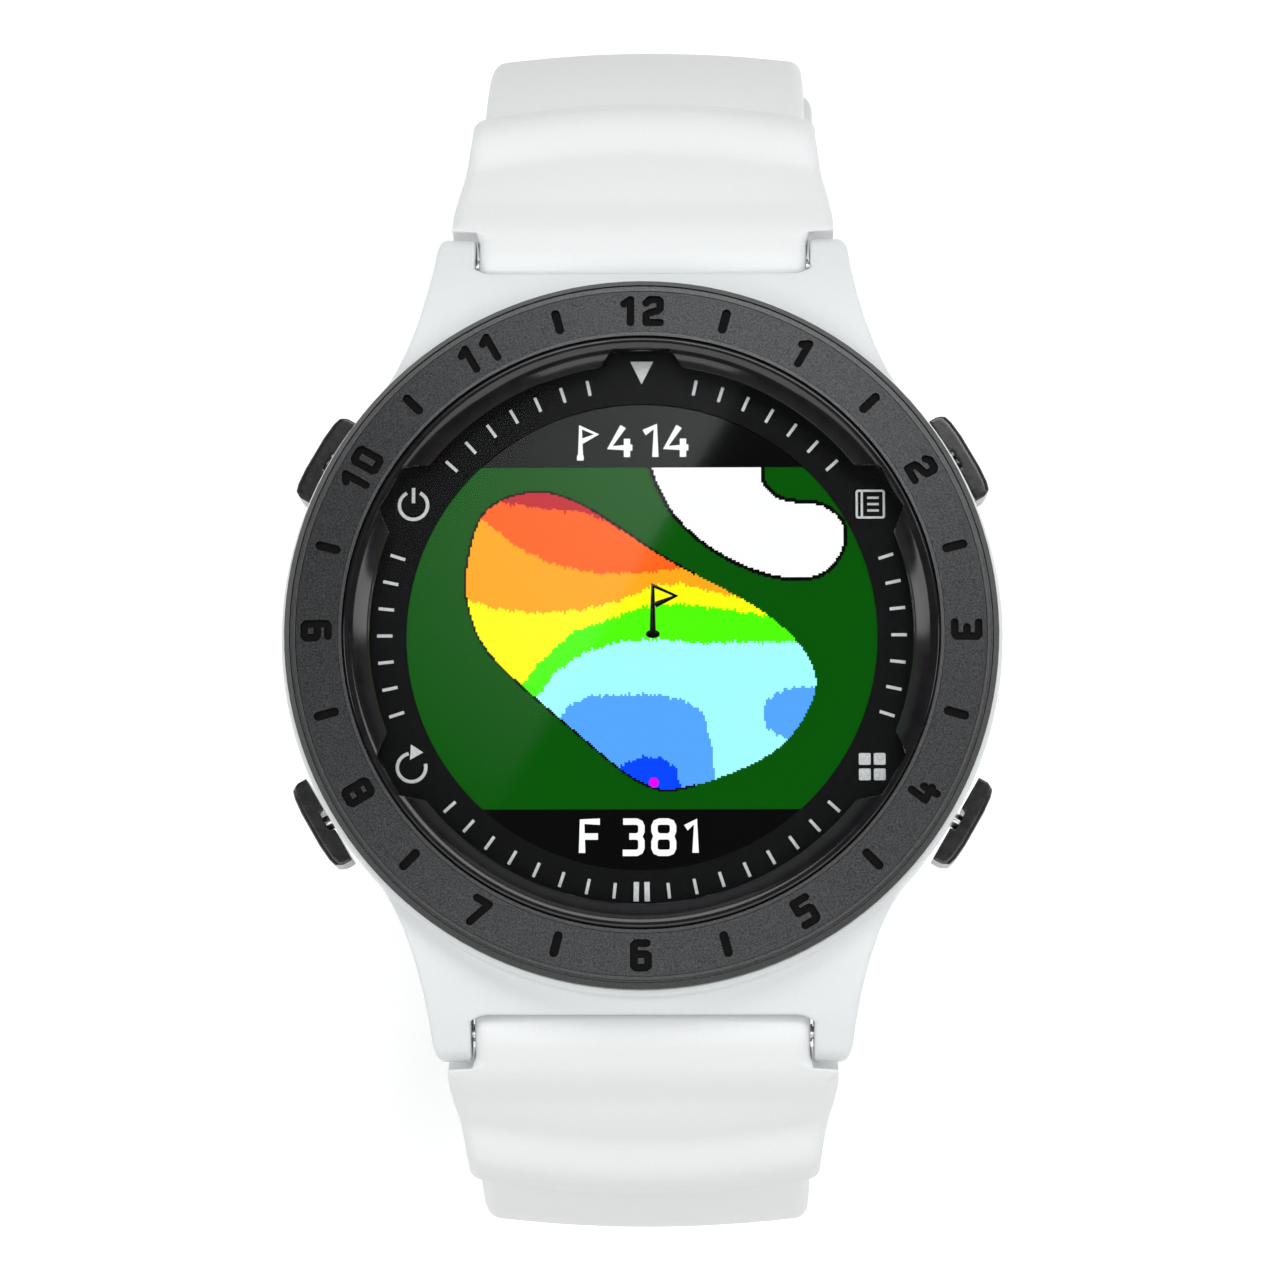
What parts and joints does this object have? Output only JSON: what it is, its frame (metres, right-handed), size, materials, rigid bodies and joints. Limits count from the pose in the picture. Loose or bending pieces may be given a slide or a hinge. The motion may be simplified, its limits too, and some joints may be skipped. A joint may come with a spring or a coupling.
{
  "type": "golf gps watch",
  "caption": "Round golf GPS wrist watch with an engraved hour bezel, four side buttons, a colour course display and a white two-piece silicone strap with a buckle.",
  "frame": {"origin": "centre of the case back's outer face", "axes": "+Z out through the lens, +Y towards 12 o'clock, +X towards 3 o'clock"},
  "size_m": [0.0468, 0.0859, 0.056],
  "materials": {
    "case_plastic": "white satin moulded plastic",
    "back_plastic": "dark grey satin plastic",
    "black_metal": "black anodised, fine blasted",
    "gloss_black": "polished black",
    "button_black": "polished black",
    "glass": "polished, clear",
    "dial_print": "black print with grey minute marks",
    "display": "colour display, dark green map",
    "steel": "satin stainless steel",
    "seal_rubber": "black nitrile",
    "strap_silicone": "white matt silicone",
    "circuit_board": "green solder mask",
    "ceramic": "unglazed patch antenna",
    "contact_gold": "gold plated",
    "inner_plastic": "black glass-filled nylon",
    "battery_foil": "pouch foil",
    "cable_film": "amber polyimide"
  },
  "bodies": {
    "watch": {"battery": "battery_foil", "bezel": "black_metal", "bezel_insert": "black_metal", "board_screws": "steel", "button_bush_back": "inner_plastic", "button_bush_menu": "inner_plastic", "button_bush_power": "inner_plastic", "button_bush_scorecard": "inner_plastic", "button_switch_back": "inner_plastic", "button_switch_menu": "inner_plastic", "button_switch_power": "inner_plastic", "button_switch_scorecard": "inner_plastic", "case_back": "back_plastic", "case_back_gasket": "seal_rubber", "case_back_screws": "steel", "case_middle": "case_plastic", "charging_contacts": "contact_gold", "dial_ring": "dial_print", "display_cable": "cable_film", "display_frame": "inner_plastic", "display_panel": "display", "gps_antenna": "ceramic", "inner_ring": "gloss_black", "lens": "glass", "lens_gasket": "seal_rubber", "main_board": "circuit_board", "processor_shield": "steel", "spring_bar_coil_lower": "steel", "spring_bar_coil_upper": "steel", "spring_bar_lower": "steel", "spring_bar_tips_lower": "steel", "spring_bar_tips_upper": "steel", "spring_bar_upper": "steel", "vibration_motor": "steel"},
    "button_power": {"button_cap_power": "button_black", "button_stem_power": "steel", "button_seal_power": "seal_rubber", "button_clip_power": "steel"},
    "button_back": {"button_cap_back": "button_black", "button_stem_back": "steel", "button_seal_back": "seal_rubber", "button_clip_back": "steel"},
    "button_scorecard": {"button_cap_scorecard": "button_black", "button_stem_scorecard": "steel", "button_seal_scorecard": "seal_rubber", "button_clip_scorecard": "steel"},
    "button_menu": {"button_cap_menu": "button_black", "button_stem_menu": "steel", "button_seal_menu": "seal_rubber", "button_clip_menu": "steel"},
    "upper_strap": {"strap_upper": "strap_silicone", "keeper_fixed": "strap_silicone", "buckle_bar": "steel"},
    "lower_strap": {"strap_lower": "strap_silicone"},
    "sliding_keeper": {"keeper_free": "strap_silicone"},
    "buckle": {"buckle_frame": "steel"},
    "tang": {"buckle_tang": "steel"}
  },
  "joints": [
    {"name": "press_power", "type": "slide", "parent": "watch", "child": "button_power", "axis": [0.866, -0.5, 0], "range_m": [0, 0.0006], "stiffness_N_per_m": 600},
    {"name": "press_back", "type": "slide", "parent": "watch", "child": "button_back", "axis": [0.866, 0.5, 0], "range_m": [0, 0.0006], "stiffness_N_per_m": 600},
    {"name": "press_scorecard", "type": "slide", "parent": "watch", "child": "button_scorecard", "axis": [-0.866, -0.5, 0], "range_m": [0, 0.0006], "stiffness_N_per_m": 600},
    {"name": "press_menu", "type": "slide", "parent": "watch", "child": "button_menu", "axis": [-0.866, 0.5, 0], "range_m": [0, 0.0006], "stiffness_N_per_m": 600},
    {"name": "strap_upper_swing", "type": "hinge", "parent": "watch", "child": "upper_strap", "pos_m": [0, 0.0254, 0.0049], "axis": [1, 0, 0], "range_deg": [0, 50]},
    {"name": "strap_lower_swing", "type": "hinge", "parent": "watch", "child": "lower_strap", "pos_m": [0, -0.0254, 0.0049], "axis": [-1, 0, 0], "range_deg": [0, 50]},
    {"name": "keeper_slide", "type": "hinge", "parent": "upper_strap", "child": "sliding_keeper", "pos_m": [0, 0.0297, -0.02367], "axis": [-1, 0, 0], "range_deg": [-21, 0.8]},
    {"name": "buckle_swing", "type": "hinge", "parent": "upper_strap", "child": "buckle", "pos_m": [0, 0.03455, -0.0386], "axis": [1, 0, 0], "range_deg": [-30, 45]},
    {"name": "tang_swing", "type": "hinge", "parent": "buckle", "child": "tang", "pos_m": [0, 0.03455, -0.0386], "axis": [1, 0, 0], "range_deg": [0, 50]}
  ]
}
